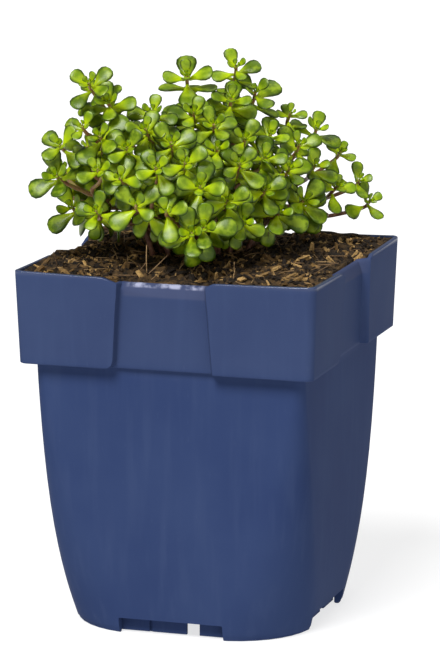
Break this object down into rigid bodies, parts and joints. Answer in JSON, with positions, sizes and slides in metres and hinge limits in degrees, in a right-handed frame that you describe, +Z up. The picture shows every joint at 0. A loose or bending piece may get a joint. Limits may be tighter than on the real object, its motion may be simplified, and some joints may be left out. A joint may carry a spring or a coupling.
{
  "type": "potted sedum",
  "caption": "Small-leaved sedum in a square plastic nursery pot with a stepped collar, rooted in potting soil; a live plant that stands on a surface.",
  "frame": {"origin": "on the ground under the middle of the pot", "axes": "+Z up along the pot's axis, -Y out of the pot's front wall, +X to the right of the front wall"},
  "size_m": [0.09, 0.09, 0.1655],
  "materials": {
    "pot_plastic": "satin moulded plastic, dark blue",
    "potting_soil": "rough peat and bark",
    "sedum_green": "glossy fleshy leaves"
  },
  "bodies": {
    "root": {"pot": "pot_plastic", "potting_soil": "potting_soil", "sedum_stem_01": "sedum_green", "sedum_stem_02": "sedum_green", "sedum_stem_03": "sedum_green", "sedum_stem_04": "sedum_green", "sedum_stem_05": "sedum_green", "sedum_stem_06": "sedum_green", "sedum_stem_07": "sedum_green", "sedum_stem_08": "sedum_green", "sedum_stem_09": "sedum_green", "sedum_stem_10": "sedum_green", "sedum_stem_11": "sedum_green", "sedum_stem_12": "sedum_green", "sedum_stem_13": "sedum_green", "sedum_stem_14": "sedum_green", "sedum_stem_15": "sedum_green", "sedum_stem_16": "sedum_green", "sedum_stem_17": "sedum_green", "sedum_stem_18": "sedum_green", "sedum_stem_19": "sedum_green", "sedum_stem_20": "sedum_green", "sedum_stem_21": "sedum_green", "sedum_stem_22": "sedum_green", "sedum_stem_23": "sedum_green", "sedum_stem_24": "sedum_green", "sedum_stem_25": "sedum_green", "sedum_stem_26": "sedum_green"}
  },
  "joints": []
}
